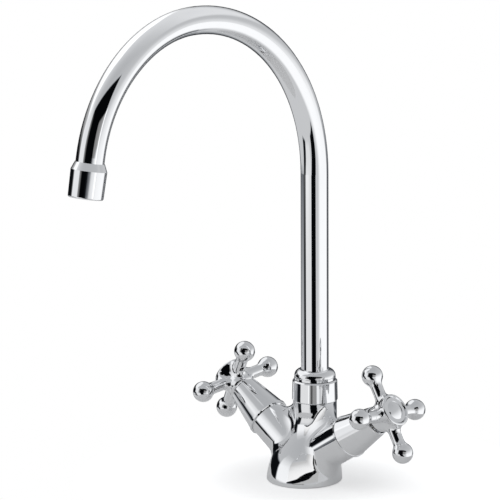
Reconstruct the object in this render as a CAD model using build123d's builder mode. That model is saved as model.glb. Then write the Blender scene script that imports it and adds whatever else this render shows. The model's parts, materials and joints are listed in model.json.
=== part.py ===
# Two-handle monobloc mixer tap with a swan-neck swivel spout.
# Millimetres. Origin at the centre of the foot's underside, +Z up. The spout points to -Y
# and the handles stand to the left (-X) and to the right (+X).

import os
from math import atan2, cos, pi, radians, sin, sqrt, tan

from build123d import *

os.makedirs("parts", exist_ok=True)

# Clearances
running_gap = 0.05        # radial gap of a turning fit
thread_gap = 0.05         # radial gap that stands for a screw thread
joint_gap = 0.02          # radial gap of a brazed or pressed joint
lap_gap = 0.05            # gap between flat faces that turn on each other
free_gap = 0.3            # gap between a turning piece and a fixed one that it doesn't bear on

# Foot, column and branches of the body
foot_d = 49.4
foot_edge_round = 1.2
lean_d = 47.8             # section low on the front, which leans back from the deck up
lean_set_back = 0.5
lean_z = 8.0
slope_d = 44.4            # section in the middle of the sloping front
slope_set_back = 1.9
slope_z = 16.0
ramp_d = 38.4             # section where the front slopes most
ramp_set_back = 4.8
ramp_z = 23.0
shoulder_d = 31.6         # section where the slope runs out into the column
shoulder_set_back = 8.4
shoulder_z = 30.0
column_d = 28.6
column_set_back = 10.2    # column's axis behind the foot's centre
column_foot = 39.0        # the column is straight from here
column_top = 52.0
branch_d = 26.0
branch_length = 43.3
branch_rise = 32.4        # degrees above the deck
branch_sweep = 3.5        # degrees towards the rear
branch_root_y = 1.8       # place at which both branch axes cross
branch_root_z = 11.6
branch_blend_r = 10.0
seam_edge = 0.4           # broken edges at the seams

# Waterways and fixing holes
inlet_along = 13.0        # feed's place along the branch axis
inlet_thread_d = 9.0
inlet_thread_depth = 11.0
feed_d = 7.0
seat_hole_d = 9.0
cross_hole_d = 6.6
cross_hole_y = 4.0
cross_hole_rise = 0.5     # cross hole above the floor of the mixing chamber
chamber_floor = 25.0
stud_hole_d = 6.8
stud_hole_depth = 12.0
stud_hole_y = -12.0

# Seal ring under the foot
base_seal_d = 40.0
base_seal_w = 3.0
base_seal_h = 2.0

# Spout swivel
neck_d = 25.6
neck_length = 8.0
swivel_bore_d = 22.0
tail_reach = 25.0         # length of the tail inside neck and column
tail_waterway_d = 15.0
spout_ring_section = 2.0
spout_ring_pitch = 7.0
spout_ring_rise = 4.0     # lower ring above the tail's end
groove_side = 0.2         # free width on each side of a ring in its groove
slip_ring_h = 2.4
slip_ring_d = 24.4
slip_groove_d = 19.6
slip_ring_slot = 3.0
collar_foot_d = 29.8
collar_top_d = 29.2
collar_h = 13.6
collar_bevel = 0.9
ferrule_d = 27.0
ferrule_lip_h = 1.5
ferrule_line_w = 0.6      # line turned between lip and bead
ferrule_line_depth = 0.5
ferrule_h = 6.4
ferrule_top_d = 20.0

# Spout tube and outlet
tube_d = 18.0
tube_wall = 1.0
tube_socket = 24.0        # depth of the tube in the tail
leg_top = 203.0           # height at which the straight leg ends
rear_bend_r = 114.5
front_bend_r = 89.8
front_bend_sweep = 79.0   # degrees past the spout's highest point
outlet_run = 3.5          # straight tube before the nozzle
nozzle_d = 22.8
nozzle_mouth_d = 22.2
nozzle_throat_d = 18.8
nozzle_cone_h = 4.8
nozzle_h = 22.2
nozzle_socket = 7.0
nozzle_edge_round = 1.0
waterway_d = 14.0
aerator_d = 19.4
aerator_depth = 12.0
aerator_wall = 1.4
aerator_recess = 0.8      # aerator's face above the nozzle's mouth
aerator_ledge_w = 0.8
aerator_ledge_h = 1.0
aerator_washer_h = 1.5
screen_h = 0.8
screen_hole_d = 1.5
screen_pitch = 2.5
screen_rings = 2

# Ceramic valve, along the branch
valve_bore_d = 21.0
valve_depth = 21.5        # seat below the branch's end face
seat_seal_h = 2.5
seat_seal_hole_d = 10.0
disc_d = 16.0
disc_h = 3.0
disc_port_d = 4.0
disc_port_circle_d = 8.4
disc_slot_w = 3.0
disc_slot_h = 1.2
driver_d = 15.2
driver_h = 3.5
driver_key_l = 12.0
barrel_d = 19.0
barrel_clear = 1.2        # barrel's end above the seat
barrel_thread_h = 8.0
window_w = 8.0
window_h = 5.0
bonnet_washer_h = 1.0
bonnet_flange_d = 24.0
bonnet_flange_h = 2.0
bonnet_hex_af = 19.0
bonnet_hex_h = 5.0
gland_d = 15.0
gland_h = 8.0
nose_d = 11.5
nose_h = 3.5
spindle_d = 8.0
spindle_ring_section = 1.2
circlip_h = 1.0
circlip_d = 11.0
circlip_groove_d = 6.6
circlip_slot = 3.6
circlip_land = 0.6        # plain spindle above the circlip
spline_teeth = 20
spline_d = 7.8
spline_depth = 0.35

# Skirt over the valve
skirt_lap = 1.0           # skirt's rim over the end of the branch
skirt_play = 0.1          # room between the skirt's rim and the branch
skirt_length = 27.6
skirt_foot_d = 28.6
skirt_rim_h = 1.4
skirt_rim_step = 0.3
skirt_mouth_d = 19.2
skirt_wall = 1.0
skirt_mouth_round = 0.4
skirt_web_h = 3.0
skirt_web_rise = 2.0      # web above the gland's foot

# Cross handle
arm_plane_rise = 10.0     # plane of the arms above the skirt's mouth
shank_d = 14.0
shank_depth = 4.0         # shank inside the skirt
bell_gap = 1.0            # bell's underside above the skirt's mouth
bell_d = 18.2
bell_h = 2.6              # rounded underside of the bell
hub_d = 15.6
rim_d = 21.6
rim_rise = 8.4            # top of the rim above the plane of the arms
rim_edge_h = 1.4
rim_crown = 0.9           # rounding of the rim's outer edge
rim_land_w = 0.7
dish_d = 17.2
dish_depth = 1.6
ball_d = 13.7
ball_circle_d = 54.0
handle_arms = 4
arm_waist_d = 7.8
arm_arc_r = 5.5           # hollow between arm and ball
arm_blend_r = 4.6         # blend between arm and hub
left_clocking = -10.7     # degrees that the arms stand off the branch's upright
right_clocking = -5.2
spindle_top_drop = 3.0    # spindle's top below the plane of the arms
handle_web_h = 3.0
screw_d = 4.0
screw_reach = 7.0
screw_play = 0.2
screw_head_d = 7.4
screw_head_h = 2.6
screw_slot_w = 1.2
screw_slot_h = 1.2
screw_pocket_d = 9.0
cap_spigot_h = 2.0
cap_edge_h = 0.8
cap_dome_d = 12.6
cap_dome_h = 2.6

# Heights on the column
neck_r = neck_d / 2
swivel_r = swivel_bore_d / 2
tube_r = tube_d / 2
tail_r = swivel_r - running_gap
neck_top = column_top + neck_length
collar_top = column_top + collar_h
tail_foot = neck_top - tail_reach
ferrule_foot = collar_top + free_gap
ferrule_top = ferrule_foot + ferrule_h
slip_ring_top = neck_top + slip_ring_h
tube_foot = ferrule_top - tube_socket
lower_ring_z = tail_foot + spout_ring_rise
upper_ring_z = lower_ring_z + spout_ring_pitch

# Distances along a branch, from the point where both branches cross
seat = branch_length - valve_depth
seal_top = seat + seat_seal_h
fixed_top = seal_top + disc_h
moving_foot = fixed_top + lap_gap
moving_top = moving_foot + disc_h
driver_foot = moving_top + lap_gap
driver_top = driver_foot + driver_h
barrel_foot = seat + barrel_clear
barrel_roof = driver_top + lap_gap
flange_foot = branch_length + bonnet_washer_h
hex_foot = flange_foot + bonnet_flange_h
gland_foot = hex_foot + bonnet_hex_h
nose_foot = gland_foot + gland_h
nose_top = nose_foot + nose_h
circlip_foot = nose_top + lap_gap
circlip_top = circlip_foot + circlip_h
skirt_foot = branch_length - skirt_lap
skirt_mouth = skirt_foot + skirt_length
shank_foot = skirt_mouth - shank_depth
arm_plane = skirt_mouth + arm_plane_rise
bell_foot = skirt_mouth + bell_gap
bell_line = bell_foot + bell_h
rim_top = arm_plane + rim_rise
dish_floor = rim_top - dish_depth
spindle_top = arm_plane - spindle_top_drop
handle_web_foot = spindle_top + lap_gap
handle_web_top = handle_web_foot + handle_web_h
chamber_r = disc_d / 2 + free_gap
spindle_ring_at = gland_foot + gland_h / 2

# Axes and planes
column_axis = Axis((0, column_set_back, 0), (0, 0, 1))
column_profile = Plane(origin=(0, column_set_back, 0), x_dir=(1, 0, 0), z_dir=(0, -1, 0))
branch_root = Vector(0, branch_root_y, branch_root_z)
rise = radians(branch_rise)
sweep_back = radians(branch_sweep)
sides = {"left": -1, "right": 1}
clocking = {"left": left_clocking, "right": right_clocking}


def branch_way(side):
    """Direction of a branch, outwards."""
    level_reach = cos(rise)
    return Vector(
        sides[side] * level_reach * cos(sweep_back), level_reach * sin(sweep_back), sin(rise)
    )


def branch_level(side):
    """Level direction square to a branch."""
    return Vector(0, 0, 1).cross(branch_way(side)).normalized()


def branch_upright(side):
    """Steepest direction square to a branch."""
    return branch_way(side).cross(branch_level(side))


def branch_axis(side):
    return Axis(branch_root, branch_way(side))


def branch_profile(side, turned=0):
    """Plane through a branch's axis, turned about it: X is the radius, Y runs along the branch."""
    turn_angle = radians(turned)
    radial = branch_level(side) * cos(turn_angle) + branch_upright(side) * sin(turn_angle)
    return Plane(origin=branch_root, x_dir=radial, z_dir=radial.cross(branch_way(side)))


def branch_section(side, along):
    """Plane square to a branch at a distance along it."""
    way = branch_way(side)
    return Plane(origin=branch_root + way * along, x_dir=branch_level(side), z_dir=way)


def turn(plane, axis, points, mode=Mode.ADD):
    """Turn a closed outline of (radius, height) points about an axis."""
    with BuildSketch(plane) as outline:
        with BuildLine():
            Polyline(points, close=True)
        make_face()
    revolve(outline.sketch.faces(), axis=axis, mode=mode)


def turn_ring(plane, axis, inner_r, outer_r, low, high, mode=Mode.ADD):
    """Turn a plain ring or, from radius 0, a plain disc."""
    turn(plane, axis, [(inner_r, low), (outer_r, low), (outer_r, high), (inner_r, high)], mode)


def turn_cord(plane, axis, middle_r, section, height):
    """Turn a ring of round section."""
    with BuildSketch(plane) as outline:
        with Locations((middle_r, height)):
            Circle(section / 2)
    revolve(outline.sketch.faces(), axis=axis)


def drill(plane, diameter, depth):
    """Cut a plain round hole along a plane's normal."""
    with BuildSketch(plane) as outline:
        Circle(diameter / 2)
    extrude(outline.sketch.faces(), amount=depth, mode=Mode.SUBTRACT)


def slot(plane, centre, length, width, depth, mode=Mode.SUBTRACT):
    """Cut or add a straight bar on a plane."""
    with BuildSketch(plane) as outline:
        with Locations(centre):
            Rectangle(length, width)
    extrude(outline.sketch.faces(), amount=depth, mode=mode)


def spline_outline(tip_r):
    """Teeth and gaps in turn round the spindle."""
    corners = 2 * spline_teeth
    radii = [tip_r - spline_depth * (i % 2) for i in range(corners)]
    turns = [radians(360 * i / corners) for i in range(corners)]
    return [(r * cos(a), r * sin(a)) for r, a in zip(radii, turns)]


def finish(piece, name):
    """Label a finished piece and write it."""
    piece.part.label = name
    export_step(piece.part, f"parts/{name}.step")


# Body: foot, sloping front, column and branches in one casting
base_seal_inner_r = (base_seal_d - base_seal_w) / 2
base_seal_outer_r = (base_seal_d + base_seal_w) / 2
casting_sections = [
    (foot_d, 0, 0),
    (lean_d, lean_set_back, lean_z),
    (slope_d, slope_set_back, slope_z),
    (ramp_d, ramp_set_back, ramp_z),
    (shoulder_d, shoulder_set_back, shoulder_z),
    (column_d, column_set_back, column_foot),
    (column_d, column_set_back, (column_foot + column_top) / 2),
    (column_d, column_set_back, column_top),
]
with BuildPart() as mixer_body:
    for section_d, section_y, section_z in casting_sections:
        with BuildSketch(Plane(origin=(0, section_y, section_z), x_dir=(0, 1, 0), z_dir=(0, 0, 1))):
            Circle(section_d / 2)
    loft()
    fillet(mixer_body.edges().group_by(Axis.Z)[0], radius=foot_edge_round)
    chamfer(mixer_body.edges().group_by(Axis.Z)[-1], length=seam_edge)
    for side in sides:
        with BuildSketch(branch_section(side, 0)):
            Circle(branch_d / 2)
        extrude(amount=branch_length)
        branch_end = mixer_body.faces().sort_by(branch_axis(side))[-1]
        chamfer(branch_end.edges(), length=seam_edge)
    seams = mixer_body.edges().filter_by(GeomType.BSPLINE).filter_by(lambda edge: edge.is_closed)
    roots = seams.filter_by(lambda edge: abs(edge.center().X) > branch_d / 4)
    fillet(roots, radius=branch_blend_r)
    turn_ring(column_profile, column_axis, 0, neck_r, column_top, neck_top)
    turn_ring(column_profile, column_axis, 0, swivel_r, chamber_floor, neck_top, Mode.SUBTRACT)
    turn_ring(Plane.XZ, Axis.Z, base_seal_inner_r, base_seal_outer_r, 0, base_seal_h, Mode.SUBTRACT)
    drill(Plane(origin=(0, stud_hole_y, 0)), stud_hole_d, stud_hole_depth)
    cross_hole_z = chamber_floor + cross_hole_rise + cross_hole_d / 2
    for side in sides:
        turn_ring(branch_profile(side), branch_axis(side), 0, valve_bore_d / 2, seat, branch_length,
                  Mode.SUBTRACT)
        drill(branch_section(side, inlet_along), seat_hole_d, seat - inlet_along)
        feed_top = branch_root + branch_way(side) * inlet_along
        inlet_place = (feed_top.X, feed_top.Y, 0)
        drill(Plane(origin=inlet_place), inlet_thread_d, inlet_thread_depth)
        drill(Plane(origin=inlet_place), feed_d, feed_top.Z)
        cross_plane = Plane(
            origin=(0, cross_hole_y, cross_hole_z), x_dir=(0, 1, 0), z_dir=(sides[side], 0, 0)
        )
        drill(cross_plane, cross_hole_d, (cross_hole_z - branch_root_z) / tan(rise))
finish(mixer_body, "mixer_body")

# Seal ring in the groove under the foot
with BuildPart() as base_seal:
    turn_ring(Plane.XZ, Axis.Z, base_seal_inner_r + joint_gap, base_seal_outer_r - joint_gap, 0,
              base_seal_h - joint_gap)
finish(base_seal, "base_seal")

# Collar nut on the threaded neck
with BuildPart() as collar_nut:
    collar_outline = [
        (neck_r + thread_gap, column_top),
        (collar_foot_d / 2 - seam_edge, column_top),
        (collar_foot_d / 2, column_top + seam_edge),
        (collar_top_d / 2, collar_top - collar_bevel),
        (collar_top_d / 2 - collar_bevel, collar_top),
        (tail_r + free_gap, collar_top),
        (tail_r + free_gap, slip_ring_top + lap_gap),
        (neck_r + thread_gap, slip_ring_top + lap_gap),
    ]
    turn(column_profile, column_axis, collar_outline)
finish(collar_nut, "collar_nut")

# Split slip ring between neck and nut, in the tail's groove
with BuildPart() as slip_ring:
    turn_ring(column_profile, column_axis, slip_groove_d / 2 + running_gap, slip_ring_d / 2, neck_top,
              slip_ring_top)
    slot(Plane(origin=(0, column_set_back, neck_top)), (slip_ring_d / 2, 0), slip_ring_d, slip_ring_slot,
         slip_ring_h)
finish(slip_ring, "slip_ring")

# Spout tail: ferrule above the nut, swivel with ring grooves below
spout_ring_r = swivel_r - running_gap - spout_ring_section / 2
spout_groove_r = spout_ring_r - spout_ring_section / 2 - running_gap
ring_half = spout_ring_section / 2 + groove_side
bead_foot = ferrule_foot + ferrule_lip_h + ferrule_line_w
with BuildPart() as spout_tail:
    with BuildSketch(column_profile):
        with BuildLine():
            tail_side = Polyline(
                (tail_waterway_d / 2, tail_foot),
                (tail_r, tail_foot),
                (tail_r, ferrule_foot),
                (ferrule_d / 2, ferrule_foot),
                (ferrule_d / 2, ferrule_foot + ferrule_lip_h),
                (ferrule_d / 2 - ferrule_line_depth, ferrule_foot + ferrule_lip_h),
                (ferrule_d / 2 - ferrule_line_depth, bead_foot),
                (ferrule_d / 2, bead_foot),
            )
            bead = TangentArc(tail_side @ 1, (ferrule_top_d / 2, ferrule_top), tangent=(0, 1))
            Polyline(
                bead @ 1,
                (tube_r + joint_gap, ferrule_top),
                (tube_r + joint_gap, tube_foot),
                (tail_waterway_d / 2, tube_foot),
                tail_side @ 0,
            )
        make_face()
    revolve(axis=column_axis)
    for ring_z in (lower_ring_z, upper_ring_z):
        turn_ring(column_profile, column_axis, spout_groove_r, tail_r, ring_z - ring_half,
                  ring_z + ring_half, Mode.SUBTRACT)
    turn_ring(column_profile, column_axis, slip_groove_d / 2, tail_r, neck_top - groove_side,
              slip_ring_top + groove_side, Mode.SUBTRACT)
finish(spout_tail, "spout_tail")

# Swivel seals
for name, ring_z in (("lower_spout_o_ring", lower_ring_z), ("upper_spout_o_ring", upper_ring_z)):
    with BuildPart() as spout_o_ring:
        turn_cord(column_profile, column_axis, spout_ring_r, spout_ring_section, ring_z)
    finish(spout_o_ring, name)

# Spout tube: straight leg, wide rear bend, tighter front bend, short outlet run
with BuildPart() as spout_tube:
    with BuildLine(Plane.YZ) as spout_way:
        leg = Line((column_set_back, tube_foot), (column_set_back, leg_top))
        rear_bend = JernArc(leg @ 1, leg % 1, rear_bend_r, 90)
        front_bend = JernArc(rear_bend @ 1, rear_bend % 1, front_bend_r, front_bend_sweep)
        run = Line(front_bend @ 1, front_bend @ 1 + (front_bend % 1) * (outlet_run + nozzle_socket))
    with BuildSketch(Plane(origin=(0, column_set_back, tube_foot))):
        Circle(tube_r)
        Circle(tube_r - tube_wall, mode=Mode.SUBTRACT)
    sweep(path=spout_way.wires()[0])
    outlet_way = (run % 1).normalized()
    outlet_point = front_bend @ 1 + outlet_way * outlet_run
finish(spout_tube, "spout_tube")

# Outlet nozzle brazed on the tube's end, measured from its throat down to its mouth
outlet_axis = Axis(outlet_point, outlet_way)
outlet_profile = Plane(origin=outlet_point, x_dir=(1, 0, 0), z_dir=Vector(1, 0, 0).cross(outlet_way))
aerator_top = nozzle_h - aerator_depth
with BuildPart() as outlet_nozzle:
    nozzle_outline = [
        (tube_r + joint_gap, 0),
        (nozzle_throat_d / 2, 0),
        (nozzle_d / 2, nozzle_cone_h),
        (nozzle_mouth_d / 2, nozzle_h),
        (aerator_d / 2, nozzle_h),
        (aerator_d / 2, aerator_top),
        (waterway_d / 2, aerator_top),
        (waterway_d / 2, nozzle_socket),
        (tube_r + joint_gap, nozzle_socket),
    ]
    turn(outlet_profile, outlet_axis, nozzle_outline)
    mouth_edges = outlet_nozzle.edges().group_by(outlet_axis)[-1]
    fillet(mouth_edges.sort_by(SortBy.LENGTH)[-1], radius=nozzle_edge_round)
finish(outlet_nozzle, "outlet_nozzle")

# Aerator: washer, threaded insert with a ledge, perforated screen on the ledge
insert_r = aerator_d / 2 - thread_gap
insert_top = aerator_top + aerator_washer_h
insert_face = nozzle_h - aerator_recess
ledge_top = insert_face - aerator_ledge_h
insert_bore_r = insert_r - aerator_wall
with BuildPart() as aerator_washer:
    turn_ring(outlet_profile, outlet_axis, waterway_d / 2, insert_r, aerator_top, insert_top)
finish(aerator_washer, "aerator_washer")

with BuildPart() as aerator_insert:
    insert_outline = [
        (insert_bore_r, insert_top),
        (insert_r, insert_top),
        (insert_r, insert_face),
        (insert_bore_r - aerator_ledge_w, insert_face),
        (insert_bore_r - aerator_ledge_w, ledge_top),
        (insert_bore_r, ledge_top),
    ]
    turn(outlet_profile, outlet_axis, insert_outline)
finish(aerator_insert, "aerator_insert")

screen_plane = Plane(origin=outlet_point + outlet_way * ledge_top, x_dir=(1, 0, 0), z_dir=outlet_way * -1)
with BuildPart() as aerator_screen:
    with BuildSketch(screen_plane):
        Circle(insert_bore_r - joint_gap)
        Circle(screen_hole_d / 2, mode=Mode.SUBTRACT)
        for ring in range(1, screen_rings + 1):
            with PolarLocations(ring * screen_pitch, 6 * ring):
                Circle(screen_hole_d / 2, mode=Mode.SUBTRACT)
    extrude(amount=screen_h)
finish(aerator_screen, "aerator_screen")

# Valve, skirt and handle of each side
skirt_lap_r = branch_d / 2 + skirt_play
lap_top = branch_length + skirt_play
skirt_cone_r = skirt_foot_d / 2 - skirt_rim_step
skirt_mouth_r = skirt_mouth_d / 2
skirt_bore_r = skirt_cone_r - skirt_wall
skirt_bore_mouth_r = skirt_mouth_r - skirt_wall
web_foot = gland_foot + skirt_web_rise
web_top = web_foot + skirt_web_h
spindle_r = spindle_d / 2
spindle_ring_r = spindle_r - spindle_ring_section / 2
spindle_groove_r = spindle_ring_r - spindle_ring_section / 2 - running_gap
spindle_ring_half = spindle_ring_section / 2 + groove_side
spline_foot = circlip_top + circlip_land
screw_tip = spindle_top - screw_reach
dish_r = dish_d / 2
cap_r = dish_r - joint_gap
spigot_r = screw_pocket_d / 2 - joint_gap
rim_r = rim_d / 2
hub_r = hub_d / 2
ball_r = ball_d / 2
ball_at = ball_circle_d / 2
arm_waist_r = arm_waist_d / 2

# Arm outline: the hollow arc touches both the plain arm and the ball
arc_height = arm_waist_r + arm_arc_r
arc_reach = sqrt((ball_r + arm_arc_r) ** 2 - arc_height**2)
arc_lean = atan2(arc_height, arc_reach)
arc_start = (ball_at - arc_reach, arm_waist_r)
arc_end = (ball_at - ball_r * cos(arc_lean), ball_r * sin(arc_lean))

for side in sides:
    axis = branch_axis(side)
    profile = branch_profile(side)

    # Conical skirt with a rim, a screwed web and an open mouth
    with BuildPart() as skirt:
        skirt_outline = [
            (skirt_bore_r, lap_top),
            (skirt_lap_r, lap_top),
            (skirt_lap_r, skirt_foot),
            (skirt_foot_d / 2, skirt_foot),
            (skirt_foot_d / 2, skirt_foot + skirt_rim_h),
            (skirt_cone_r, skirt_foot + skirt_rim_h),
            (skirt_mouth_r, skirt_mouth),
            (skirt_bore_mouth_r, skirt_mouth),
        ]
        turn(profile, axis, skirt_outline)
        mouth_edges = skirt.edges().group_by(axis)[-1]
        fillet(mouth_edges, radius=skirt_mouth_round)
        taper = (skirt_bore_r - skirt_bore_mouth_r) / (skirt_mouth - lap_top)
        web_outline = [
            (gland_d / 2 + thread_gap, web_foot),
            (skirt_bore_r - taper * (web_foot - lap_top) + skirt_wall / 2, web_foot),
            (skirt_bore_r - taper * (web_top - lap_top) + skirt_wall / 2, web_top),
            (gland_d / 2 + thread_gap, web_top),
        ]
        turn(profile, axis, web_outline)
    finish(skirt, f"{side}_skirt")

    # Washer under the bonnet's flange
    with BuildPart() as bonnet_washer:
        turn_ring(profile, axis, valve_bore_d / 2, bonnet_flange_d / 2, branch_length, flange_foot)
    finish(bonnet_washer, f"{side}_bonnet_washer")

    # Valve bonnet: barrel with windows, flange, hexagon, gland and nose
    with BuildPart() as valve_bonnet:
        bonnet_outline = [
            (0, barrel_foot),
            (barrel_d / 2, barrel_foot),
            (barrel_d / 2, branch_length - barrel_thread_h),
            (valve_bore_d / 2 - thread_gap, branch_length - barrel_thread_h),
            (valve_bore_d / 2 - thread_gap, flange_foot),
            (bonnet_flange_d / 2, flange_foot),
            (bonnet_flange_d / 2, hex_foot),
            (gland_d / 2, hex_foot),
            (gland_d / 2, nose_foot),
            (nose_d / 2, nose_foot),
            (nose_d / 2, nose_top),
            (0, nose_top),
        ]
        turn(profile, axis, bonnet_outline)
        with BuildSketch(branch_section(side, hex_foot)):
            RegularPolygon(radius=bonnet_hex_af / 2, side_count=6, major_radius=False)
        extrude(amount=bonnet_hex_h)
        turn_ring(profile, axis, 0, chamber_r, barrel_foot, barrel_roof, Mode.SUBTRACT)
        turn_ring(profile, axis, 0, spindle_r + running_gap, barrel_roof, nose_top, Mode.SUBTRACT)
        slot(branch_section(side, moving_foot), (0, 0), valve_bore_d, window_w, window_h)
    finish(valve_bonnet, f"{side}_valve_bonnet")

    # Rubber seal on the seat
    with BuildPart() as seat_seal:
        turn_ring(profile, axis, seat_seal_hole_d / 2, disc_d / 2, seat, seal_top)
    finish(seat_seal, f"{side}_seat_seal")

    # Fixed disc, held in the barrel, with its two ports
    with BuildPart() as fixed_disc:
        with BuildSketch(branch_section(side, seal_top)):
            Circle(chamber_r - joint_gap)
            with PolarLocations(disc_port_circle_d / 2, 2):
                Circle(disc_port_d / 2, mode=Mode.SUBTRACT)
        extrude(amount=disc_h)
    finish(fixed_disc, f"{side}_fixed_disc")

    # Moving disc: closed at rest, so its ports stand a quarter turn off the fixed ones
    with BuildPart() as moving_disc:
        with BuildSketch(branch_section(side, moving_foot)):
            Circle(disc_d / 2)
            with PolarLocations(disc_port_circle_d / 2, 2, start_angle=90):
                Circle(disc_port_d / 2, mode=Mode.SUBTRACT)
        extrude(amount=disc_h)
        slot(branch_section(side, moving_top - disc_slot_h), (0, 0), disc_d, disc_slot_w, disc_slot_h)
    finish(moving_disc, f"{side}_moving_disc")

    # Spindle: driver with its key, stem with two grooves, splined and tapped head
    with BuildPart() as spindle:
        spindle_outline = [
            (0, driver_foot),
            (driver_d / 2, driver_foot),
            (driver_d / 2, driver_top),
            (spindle_r, driver_top),
            (spindle_r, spline_foot),
            (0, spline_foot),
        ]
        turn(profile, axis, spindle_outline)
        slot(branch_section(side, moving_top - disc_slot_h + lap_gap), (0, 0), driver_key_l,
             disc_slot_w - 2 * running_gap, disc_slot_h, Mode.ADD)
        turn_ring(profile, axis, spindle_groove_r, spindle_r, spindle_ring_at - spindle_ring_half,
                  spindle_ring_at + spindle_ring_half, Mode.SUBTRACT)
        turn_ring(profile, axis, circlip_groove_d / 2, spindle_r, circlip_foot - lap_gap,
                  circlip_top + lap_gap, Mode.SUBTRACT)
        with BuildSketch(branch_section(side, spline_foot)):
            Polygon(*spline_outline(spline_d / 2), align=None)
        extrude(amount=spindle_top - spline_foot)
        turn_ring(profile, axis, 0, screw_d / 2, screw_tip - free_gap, spindle_top, Mode.SUBTRACT)
    finish(spindle, f"{side}_spindle")

    with BuildPart() as spindle_o_ring:
        turn_cord(profile, axis, spindle_ring_r, spindle_ring_section, spindle_ring_at)
    finish(spindle_o_ring, f"{side}_spindle_o_ring")

    # Circlip that keeps the spindle in the bonnet
    with BuildPart() as circlip:
        turn_ring(profile, axis, circlip_groove_d / 2 + joint_gap, circlip_d / 2, circlip_foot, circlip_top)
        slot(branch_section(side, circlip_foot), (circlip_d / 2, 0), circlip_d, circlip_slot, circlip_h)
    finish(circlip, f"{side}_circlip")

    # Cross handle: shank, bell, hub and dished rim turned, then four arms with balls
    hub_centre = branch_root + branch_way(side) * arm_plane
    with BuildPart() as cross_handle:
        between_arms = clocking[side] + 180 / handle_arms
        with BuildSketch(branch_profile(side, between_arms)):
            with BuildLine():
                shank = Polyline((0, shank_foot), (shank_d / 2, shank_foot), (shank_d / 2, bell_foot))
                bell = TangentArc(shank @ 1, (bell_d / 2, bell_line), tangent=(1, 0))
                hub = Spline(
                    bell @ 1,
                    (hub_r, arm_plane),
                    (rim_r, rim_top - rim_edge_h),
                    tangents=[(0, 1), (0.4, 1)],
                )
                rim = TangentArc(hub @ 1, (rim_r - rim_crown, rim_top), tangent=hub % 1)
                Polyline(
                    rim @ 1,
                    (rim_r - rim_crown - rim_land_w, rim_top),
                    (dish_r, dish_floor),
                    (0, dish_floor),
                    shank @ 0,
                )
            make_face()
        revolve(axis=axis)
        for arm_number in range(handle_arms):
            arm_turn = radians(clocking[side] + 360 / handle_arms * arm_number)
            arm_way = branch_level(side) * cos(arm_turn) + branch_upright(side) * sin(arm_turn)
            arm_plane_up = Plane(
                origin=hub_centre, x_dir=arm_way, z_dir=arm_way.cross(branch_way(side))
            )
            with BuildSketch(arm_plane_up):
                with BuildLine():
                    arm = Polyline((0, 0), (0, arm_waist_r), arc_start)
                    hollow = TangentArc(arm @ 1, arc_end, tangent=(1, 0))
                    ball = TangentArc(hollow @ 1, (ball_at + ball_r, 0), tangent=hollow % 1)
                    Line(ball @ 1, (0, 0))
                make_face()
            revolve(axis=Axis(hub_centre, arm_way))
        arm_roots = cross_handle.edges().filter_by(
            lambda edge: edge.is_closed and abs((edge.center() - hub_centre).length - hub_r) < arm_waist_r
        ).filter_by(lambda edge: edge.length < 2 * pi * arm_waist_d)
        fillet(arm_roots, radius=arm_blend_r)
        with BuildSketch(branch_section(side, shank_foot)):
            Polygon(*spline_outline(spline_d / 2 + running_gap), align=None)
        extrude(amount=handle_web_foot - shank_foot, mode=Mode.SUBTRACT)
        turn_ring(profile, axis, 0, screw_d / 2 + screw_play, handle_web_foot, handle_web_top, Mode.SUBTRACT)
        turn_ring(profile, axis, 0, screw_pocket_d / 2, handle_web_top, dish_floor, Mode.SUBTRACT)
    finish(cross_handle, f"{side}_cross_handle")

    # Screw that holds the handle on the spindle
    with BuildPart() as handle_screw:
        turn_ring(profile, axis, 0, screw_d / 2 - thread_gap, screw_tip, handle_web_top)
        turn_ring(profile, axis, 0, screw_head_d / 2, handle_web_top, handle_web_top + screw_head_h)
        slot(branch_section(side, handle_web_top + screw_head_h - screw_slot_h), (0, 0), screw_head_d,
             screw_slot_w, screw_slot_h)
    finish(handle_screw, f"{side}_handle_screw")

    # Domed index cap pressed into the dished rim
    with BuildPart() as index_cap:
        with BuildSketch(profile):
            with BuildLine():
                cap_edge = dish_floor + cap_edge_h
                dome = TangentArc((0, dish_floor + cap_dome_h), (cap_dome_d / 2, cap_edge), tangent=(1, 0))
                Polyline(
                    dome @ 1,
                    (cap_r, cap_edge),
                    (cap_r, dish_floor),
                    (spigot_r, dish_floor),
                    (spigot_r, dish_floor - cap_spigot_h),
                    (0, dish_floor - cap_spigot_h),
                    dome @ 0,
                )
            make_face()
        revolve(axis=axis)
    finish(index_cap, f"{side}_index_cap")
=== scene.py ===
# Chrome mixer tap with cross handles and a swan-neck spout, dressed for its studio picture.

import bpy
import json
from math import cos, pi, radians, sin
from mathutils import Matrix, Vector

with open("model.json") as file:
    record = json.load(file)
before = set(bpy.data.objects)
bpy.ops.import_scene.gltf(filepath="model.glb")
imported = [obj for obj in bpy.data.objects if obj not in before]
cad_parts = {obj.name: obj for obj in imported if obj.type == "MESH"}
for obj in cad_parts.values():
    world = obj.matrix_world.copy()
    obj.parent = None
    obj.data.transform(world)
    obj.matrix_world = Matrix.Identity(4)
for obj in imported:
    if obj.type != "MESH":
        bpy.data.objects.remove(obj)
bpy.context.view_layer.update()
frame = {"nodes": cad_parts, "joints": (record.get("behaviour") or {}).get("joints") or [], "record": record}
nodes = frame["nodes"]

# Viewing angle of the picture, about the spout's column
view_azimuth = radians(43.5)
view_elevation = radians(12.98)
view_roll = radians(-0.28)
view_distance = 3.2
view_lens = 351.9
view_sensor_w = 36
aim_right = -0.0426
aim_up = 0.1478

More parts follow.
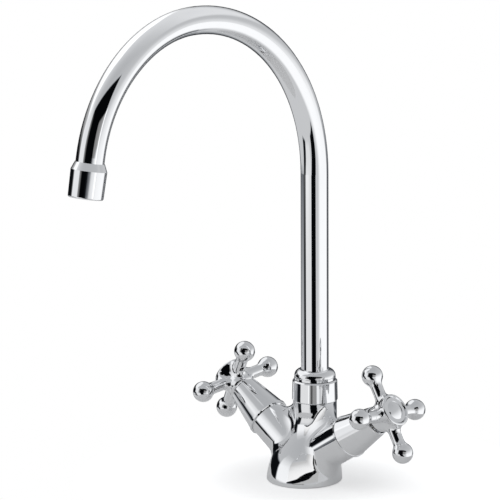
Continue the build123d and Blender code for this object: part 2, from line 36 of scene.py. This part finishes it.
# Surroundings
wall_tone = 0.62
wall_foot = -20           # degrees over the horizon between which the walls darken to the ceiling
wall_top = 70
ceiling_tone = 0.46
warm_fall = 1.03          # red and blue against green, so that darker tones are cooler
cool_fall = 0.96
floor_r = 0.15
floor_sides = 96
floor_tone = 0.7
floor_lift = 0.12         # the floor's own brightness in the chrome
floor_shown = 0.7         # the same before the camera
floor_shade = 0.5         # and there close round the foot, where it is lowered as a painted shadow
# Radii over which the painted shadow round the foot fades out
shade_r = 0.03
clear_r = 0.085

# Finishes
plating_dark = (0.885, 0.89, 0.9)
plating_pale = (0.915, 0.918, 0.925)
plating_clear = 0.015     # roughness where the plating is clearest and where it is haziest
plating_hazy = 0.05
turned_blotch_size = 140
turned_line_wander = 1.5
turned_line_depth = 0.00002
turned_spread = 0.25      # share by which the roughness varies either way
moulded_spread = 0.15
moulded_sheen_ratio = 4   # how much larger the patches of roughness are than the grain

# Flags round the tap, in degrees of bearing to the right of the viewpoint and of height over the
# horizon: left, right, low, high, width of the soft edge, slant, brightness. A slanted flag has the
# given bearings at the height of slant_level.
slant_level = -13
studio_flags = {
    "pale wall low on the left": (-78, -30, -32, -6, 8, 0, 0.8),
    "dark corner behind on the left": (-168, -100, -13, 21, 6, 0, 0.004),
    "black flag under the viewpoint": (-27, 9, -34, 3, 2, 0.85, 0.002),
    "black flag on the left": (-102, -79, -33, -2, 3, 0.85, 0.01),
    "dark stand on the right": (118, 150, -44, -8, 12, 0, 0.05),
    "dim left end of the room behind": (-215, -152, -45, 24, 30, 0, 0.03),
    "dim right end of the room behind": (152, 215, -45, 24, 30, 0, 0.03),
}

# Black card before the tap, one metre off at its bearing, in metres to the right of that and above
# the floor
card_bearing = -10
card_left = -1.07
card_right = 1.28
card_low = 0
card_high = 1.1
card_soft = 0.12
card_tone = 0.002

# Lit panels, one metre off, in the same measures: bearing, left, right, low and high edge, width of
# the soft edge. The ceiling panel lies flat over the room behind the tap.
ceiling_height = 1.5
ceiling_back = 2.15
panel_places = {
    "body_panel": (card_bearing, card_left, card_right, card_low, card_high, card_soft),
    "apron_panel": (-75, -0.4, 0.325, 0, 1.2, 0.1),
    "side_panel": (card_bearing, 0.27, card_right, 0, 0.6, 0.06),
    "right_panel": (75, -0.8, 1.1, -1, 0.25, 0.7),
    "left_panel": (-71, -0.45, 0.45, 0, 0.8, 0.3),
    "high_panel": (-130, -1, 0.8, 0.4, 3, 0.35),
    "collar_panel": (0, -0.7, 0.4, -0.9, 0.2, 0.1),
    "floor_panel": (-90, -1, 1, 0.5, 2.5, 0.3),
    "ceiling_panel": (0, -2.5, 2.5, -2.5, 2.5, 1.5),
}

# Tones of each panel, as places along its run and the tone there. A run goes so far to the right and
# so far up.
to_the_right = (1, 0)
upwards = (0, 1)
leaning_up = (-0.16, 1)
panel_tones = {
    "body_panel": (
        leaning_up,
        ((-0.3, 0.5), (0.1, 0.5), (0.105, 0), (0.235, 0), (0.24, 1), (0.5, 0.9), (0.9, 0.6), (1.3, 0.5)),
    ),
    "apron_panel": (upwards, ((0, 0.42), (0.35, 0.42), (0.9, 0.1), (1.3, 0))),
    "side_panel": (to_the_right, ((0.2, 0.22), (0.7, 0.3), (1.4, 0.65))),
    "right_panel": (upwards, ((-2, 0.46), (1, 0.46))),
    "left_panel": (upwards, ((-1, 0.3), (2, 0.3))),
    "high_panel": (upwards, ((0, 0.46), (4, 0.46))),
    "collar_panel": (
        to_the_right,
        ((-0.75, 0.26), (-0.34, 0.26), (-0.33, 0), (-0.24, 0), (-0.23, 0.3), (0.45, 0.3)),
    ),
    "floor_panel": (upwards, ((0, 1), (3, 1))),
    "ceiling_panel": (upwards, ((-4, 0.28), (4, 0.28))),
}

swivel = next(joint for joint in frame["joints"] if joint["name"] == "spout_swivel")
column = Vector((swivel["pos_m"][0], swivel["pos_m"][1], 0))


def node_of(tree, kind, **values):
    """Add a shader node and set its plain properties."""
    node = tree.nodes.new(kind)
    for name, value in values.items():
        setattr(node, name, value)
    return node


def math_of(tree, operation, first, second=None, third=None):
    """Join values or sockets with a maths node and give back its result."""
    node = node_of(tree, "ShaderNodeMath", operation=operation)
    for socket, value in zip(node.inputs, (first, second, third)):
        if value is None:
            continue
        if isinstance(value, (int, float)):
            socket.default_value = value
        else:
            tree.links.new(value, socket)
    return node.outputs[0]


def range_of(tree, value, low, high, kind="LINEAR"):
    """Spread a value from nought to one over a new range."""
    node = node_of(tree, "ShaderNodeMapRange", interpolation_type=kind)
    node.inputs["To Min"].default_value = low
    node.inputs["To Max"].default_value = high
    tree.links.new(value, node.inputs["Value"])
    return node.outputs["Result"]


def noise_of(tree, place, scale, detail):
    """Soft random variation over a piece."""
    node = node_of(tree, "ShaderNodeTexNoise")
    node.inputs["Scale"].default_value = scale
    node.inputs["Detail"].default_value = detail
    tree.links.new(place, node.inputs["Vector"])
    return node.outputs["Fac"]


def new_material(name, metallic):
    """Material with its tree, its shader and the piece's own coordinates."""
    material = bpy.data.materials.new(name)
    material.use_nodes = True
    tree = material.node_tree
    shader = tree.nodes["Principled BSDF"]
    shader.inputs["Metallic"].default_value = metallic
    place = node_of(tree, "ShaderNodeTexCoord").outputs["Object"]
    return material, tree, shader, place


def add_bump(tree, shader, height, depth):
    """Raise the skin by a pattern of heights."""
    bump = node_of(tree, "ShaderNodeBump")
    bump.inputs["Distance"].default_value = depth
    tree.links.new(height, bump.inputs["Height"])
    tree.links.new(bump.outputs["Normal"], shader.inputs["Normal"])


def colour_between(tree, shader, amount, dark, pale):
    """Vary the colour between two tones."""
    tones = node_of(tree, "ShaderNodeMix", data_type="RGBA")
    tones.inputs[6].default_value = (*dark, 1)
    tones.inputs[7].default_value = (*pale, 1)
    tree.links.new(amount, tones.inputs["Factor"])
    tree.links.new(tones.outputs[2], shader.inputs["Base Color"])


def chrome(name, haze_size, wave_size, wave_depth):
    """Polished plating: a bright skin with a drifting haze and the slight swell of the metal below."""
    material, tree, shader, place = new_material(name, 1)
    haze = noise_of(tree, place, haze_size, 3)
    colour_between(tree, shader, haze, plating_dark, plating_pale)
    tree.links.new(range_of(tree, haze, plating_clear, plating_hazy), shader.inputs["Roughness"])
    add_bump(tree, shader, noise_of(tree, place, wave_size, 1), wave_depth)
    return material


def machined(name, dark, pale, roughness, line_size):
    """Bare turned metal: fine tool lines and slightly uneven colour."""
    material, tree, shader, place = new_material(name, 1)
    blotch = noise_of(tree, place, turned_blotch_size, 3)
    colour_between(tree, shader, blotch, dark, pale)
    lines = node_of(tree, "ShaderNodeTexWave", bands_direction="Z")
    lines.inputs["Scale"].default_value = line_size
    lines.inputs["Distortion"].default_value = turned_line_wander
    tree.links.new(place, lines.inputs["Vector"])
    smooth = roughness * (1 - turned_spread)
    rough = roughness * (1 + turned_spread)
    spread = range_of(tree, lines.outputs["Fac"], smooth, rough)
    tree.links.new(spread, shader.inputs["Roughness"])
    add_bump(tree, shader, lines.outputs["Fac"], turned_line_depth)
    return material


def moulded(name, dark, pale, roughness, grain_size, grain_depth):
    """Moulded or pressed stuff: uneven tone and a fine skin."""
    material, tree, shader, place = new_material(name, 0)
    grain = noise_of(tree, place, grain_size, 4)
    colour_between(tree, shader, grain, dark, pale)
    smooth = roughness * (1 - moulded_spread)
    rough = roughness * (1 + moulded_spread)
    sheen = noise_of(tree, place, grain_size / moulded_sheen_ratio, 2)
    spread = range_of(tree, sheen, smooth, rough)
    tree.links.new(spread, shader.inputs["Roughness"])
    add_bump(tree, shader, grain, grain_depth)
    return material


def dress_nodes():
    """Give every piece the finish of its material slot."""
    finishes = {
        "body_chrome": chrome("cast_chrome", 90, 45, 0.00006),
        "tube_chrome": chrome("drawn_chrome", 130, 30, 0.00003),
        "handle_chrome": chrome("turned_chrome", 110, 60, 0.00004),
        "brass": machined("turned_brass", (0.62, 0.45, 0.2), (0.76, 0.6, 0.32), 0.3, 900),
        "steel": machined("bright_steel", (0.55, 0.55, 0.56), (0.64, 0.64, 0.65), 0.25, 1200),
        "rubber": moulded("seal_rubber", (0.018, 0.018, 0.018), (0.04, 0.04, 0.04), 0.72, 1500, 0.00003),
        "plastic": moulded("aerator_plastic", (0.7, 0.7, 0.69), (0.78, 0.78, 0.77), 0.42, 900, 0.00001),
        "ceramic": moulded("disc_ceramic", (0.86, 0.85, 0.81), (0.92, 0.91, 0.88), 0.2, 1800, 0.000005),
    }
    for entry in frame["record"]["subparts"]:
        mesh = nodes[entry["node"]].data
        mesh.materials.clear()
        mesh.materials.append(finishes[entry["material_slot"]])


def add_camera():
    """Camera of the picture, aimed beside the column."""
    right = Vector((cos(view_azimuth), sin(view_azimuth), 0))
    back = Vector((
        sin(view_azimuth) * cos(view_elevation),
        -cos(view_azimuth) * cos(view_elevation),
        sin(view_elevation),
    ))
    turned_right = Matrix.Rotation(view_roll, 3, back) @ right
    turned_up = back.cross(turned_right)
    data = bpy.data.cameras.new("picture_camera")
    data.lens = view_lens
    data.sensor_width = view_sensor_w
    camera = bpy.data.objects.new("picture_camera", data)
    bpy.context.scene.collection.objects.link(camera)
    turn = Matrix((turned_right, turned_up, back)).transposed().to_4x4()
    place = column + turned_right * aim_right + turned_up * aim_up + back * view_distance
    camera.matrix_world = Matrix.Translation(place) @ turn
    bpy.context.scene.camera = camera


def soft_mask(tree, value, low, high, soft):
    """One inside a span of a value, falling smoothly to nothing across its soft edges."""
    middle = (low + high) / 2
    reach = (high - low) / 2
    off = math_of(tree, "ABSOLUTE", math_of(tree, "SUBTRACT", value, middle))
    step = node_of(tree, "ShaderNodeMapRange", interpolation_type="SMOOTHSTEP")
    step.inputs["From Min"].default_value = reach + soft / 2
    step.inputs["From Max"].default_value = reach - soft / 2
    tree.links.new(off, step.inputs["Value"])
    return step.outputs["Result"]


def turned_way(tree, way, bearing):
    """Direction with its X towards a bearing and its Y to the right of it."""
    turned = node_of(tree, "ShaderNodeVectorRotate", rotation_type="Z_AXIS")
    turned.inputs["Angle"].default_value = radians(90 - bearing) - view_azimuth
    tree.links.new(way, turned.inputs["Vector"])
    parts = node_of(tree, "ShaderNodeSeparateXYZ")
    tree.links.new(turned.outputs["Vector"], parts.inputs["Vector"])
    return parts.outputs


def laid_over(tree, level, cover, tone):
    """Cover the tones so far with another."""
    blend = node_of(tree, "ShaderNodeMix")
    blend.inputs["B"].default_value = tone
    tree.links.new(cover, blend.inputs["Factor"])
    tree.links.new(level, blend.inputs["A"])
    return blend.outputs["Result"]


def add_studio():
    """Pale surroundings with dark flags and a black card, white where the camera sees them."""
    world = bpy.data.worlds.new("studio")
    bpy.context.scene.world = world
    world.use_nodes = True
    tree = world.node_tree
    way = node_of(tree, "ShaderNodeTexCoord").outputs["Generated"]
    ahead = turned_way(tree, way, 0)
    bearing = math_of(tree, "DEGREES", math_of(tree, "ARCTAN2", ahead["Y"], ahead["X"]))
    height = math_of(tree, "DEGREES", math_of(tree, "ARCSINE", ahead["Z"]))
    over_level = math_of(tree, "SUBTRACT", height, slant_level)

    def flag_cover(left, right, low, high, soft, slant):
        """Where one flag stands before the walls."""
        leaning = math_of(tree, "MULTIPLY_ADD", over_level, slant, bearing)
        across = soft_mask(tree, leaning, left, right, soft)
        return math_of(tree, "MULTIPLY", across, soft_mask(tree, height, low, high, soft))

    up_wall = math_of(tree, "DIVIDE", math_of(tree, "SUBTRACT", height, wall_foot), wall_top - wall_foot)
    level = range_of(tree, up_wall, wall_tone, ceiling_tone)
    card_way = turned_way(tree, way, card_bearing)
    across = math_of(tree, "DIVIDE", card_way["Y"], card_way["X"])
    upward = math_of(tree, "DIVIDE", card_way["Z"], card_way["X"])
    card_cover = math_of(
        tree,
        "MULTIPLY",
        soft_mask(tree, across, card_left, card_right, card_soft),
        soft_mask(tree, upward, card_low, card_high, card_soft),
    )
    before = math_of(tree, "GREATER_THAN", card_way["X"], 0)
    level = laid_over(tree, level, math_of(tree, "MULTIPLY", card_cover, before), card_tone)
    for *place, tone in studio_flags.values():
        level = laid_over(tree, level, flag_cover(*place), tone)

    path = node_of(tree, "ShaderNodeLightPath")
    tone = laid_over(tree, level, path.outputs["Is Camera Ray"], 1)
    tint = node_of(tree, "ShaderNodeCombineColor")
    tree.links.new(math_of(tree, "POWER", tone, warm_fall), tint.inputs["Red"])
    tree.links.new(tone, tint.inputs["Green"])
    tree.links.new(math_of(tree, "POWER", tone, cool_fall), tint.inputs["Blue"])
    tree.links.new(tint.outputs["Color"], tree.nodes["Background"].inputs["Color"])


def add_panel(name, lit_nodes):
    """Lit panel with its own run of tones, which lights the given pieces alone."""
    bearing, left, right, low, high, soft = panel_places[name]
    (rightward, upward_share), tones = panel_tones[name]
    data = bpy.data.lights.new(name, "AREA")
    data.shape = "RECTANGLE"
    data.size = right - left + soft
    data.size_y = high - low + soft
    data.energy = pi * data.size * data.size_y
    data.use_nodes = True
    tree = data.node_tree
    parts = node_of(tree, "ShaderNodeSeparateXYZ")
    tree.links.new(node_of(tree, "ShaderNodeNewGeometry").outputs["Parametric"], parts.inputs["Vector"])
    across = math_of(tree, "MULTIPLY_ADD", parts.outputs["X"], data.size, left - soft / 2)
    upward = math_of(tree, "MULTIPLY_ADD", parts.outputs["Y"], data.size_y, low - soft / 2)
    cover = math_of(
        tree,
        "MULTIPLY",
        soft_mask(tree, across, left, right, soft),
        soft_mask(tree, upward, low, high, soft),
    )
    risen = math_of(tree, "MULTIPLY", upward, upward_share)
    along = math_of(tree, "MULTIPLY_ADD", across, rightward, risen)
    first, last = tones[0][0], tones[-1][0]
    share = math_of(tree, "DIVIDE", math_of(tree, "SUBTRACT", along, first), last - first)
    stripes = node_of(tree, "ShaderNodeValToRGB")
    tree.links.new(share, stripes.inputs["Fac"])
    elements = stripes.color_ramp.elements
    for place, _ in tones[1:-1]:
        elements.new((place - first) / (last - first))
    for element, (_, tone) in zip(elements, tones):
        element.color = (tone, tone, tone, 1)
    strength = math_of(tree, "MULTIPLY", cover, stripes.outputs["Color"])
    tree.links.new(strength, tree.nodes["Emission"].inputs["Strength"])
    panel = bpy.data.objects.new(name, data)
    bpy.context.scene.collection.objects.link(panel)
    turn = view_azimuth + radians(bearing)
    away = Vector((sin(turn), -cos(turn), 0))
    sideways = Vector((cos(turn), sin(turn), 0))
    panel.location = away + sideways * (left + right) / 2 + Vector((0, 0, (low + high) / 2))
    panel.rotation_euler = (radians(90), 0, turn)
    panel.visible_camera = False
    lit = bpy.data.collections.new(name + "_lights")
    for node in lit_nodes:
        lit.objects.link(node)
    panel.light_linking.receiver_collection = lit
    return panel


def add_floor():
    """Pale round floor, white before the camera but for the shade round the foot: partly the lamps' cast
    shadow, partly a painted shadow where its glow is dimmer near the foot.
    """
    bpy.ops.object.select_all(action="DESELECT")
    bpy.ops.mesh.primitive_circle_add(
        vertices=floor_sides, radius=floor_r, fill_type="NGON", location=(0, 0, 0)
    )
    floor = bpy.context.object
    floor.name = "floor"
    material = bpy.data.materials.new("floor")
    material.use_nodes = True
    tree = material.node_tree
    tree.nodes.remove(tree.nodes["Principled BSDF"])
    matt = node_of(tree, "ShaderNodeBsdfDiffuse")
    matt.inputs["Color"].default_value = (floor_tone, floor_tone, floor_tone, 1)
    # Before the camera the floor's glow rises away from the foot, which paints a shadow round it
    off_foot = node_of(tree, "ShaderNodeVectorMath", operation="LENGTH")
    tree.links.new(node_of(tree, "ShaderNodeTexCoord").outputs["Object"], off_foot.inputs[0])
    outward = math_of(tree, "SUBTRACT", off_foot.outputs["Value"], shade_r)
    share = math_of(tree, "DIVIDE", outward, clear_r - shade_r)
    shown = node_of(tree, "ShaderNodeMix")
    shown.inputs["A"].default_value = floor_lift
    tree.links.new(range_of(tree, share, floor_shade, floor_shown, "SMOOTHSTEP"), shown.inputs["B"])
    tree.links.new(node_of(tree, "ShaderNodeLightPath").outputs["Is Camera Ray"], shown.inputs["Factor"])
    glow = node_of(tree, "ShaderNodeEmission")
    tree.links.new(shown.outputs["Result"], glow.inputs["Strength"])
    both = node_of(tree, "ShaderNodeAddShader")
    tree.links.new(matt.outputs[0], both.inputs[0])
    tree.links.new(glow.outputs[0], both.inputs[1])
    tree.links.new(both.outputs[0], tree.nodes["Material Output"].inputs["Surface"])
    floor.data.materials.append(material)
    return floor


dress_nodes()
add_camera()
add_studio()
floor = add_floor()
body = nodes["mixer_body"]
others = [node for node in nodes.values() if node is not body]
for panel_name in ("body_panel", "apron_panel"):
    add_panel(panel_name, [body])
for panel_name in ("side_panel", "right_panel", "left_panel", "high_panel"):
    add_panel(panel_name, others)
add_panel("collar_panel", [nodes["collar_nut"]])
add_panel("floor_panel", [floor])
ceiling = add_panel("ceiling_panel", [nodes["spout_tube"], nodes["outlet_nozzle"]])
ceiling.location = (-sin(view_azimuth) * ceiling_back, cos(view_azimuth) * ceiling_back, ceiling_height)
ceiling.rotation_euler = (0, 0, view_azimuth)
bpy.context.scene.view_settings.view_transform = "Standard"
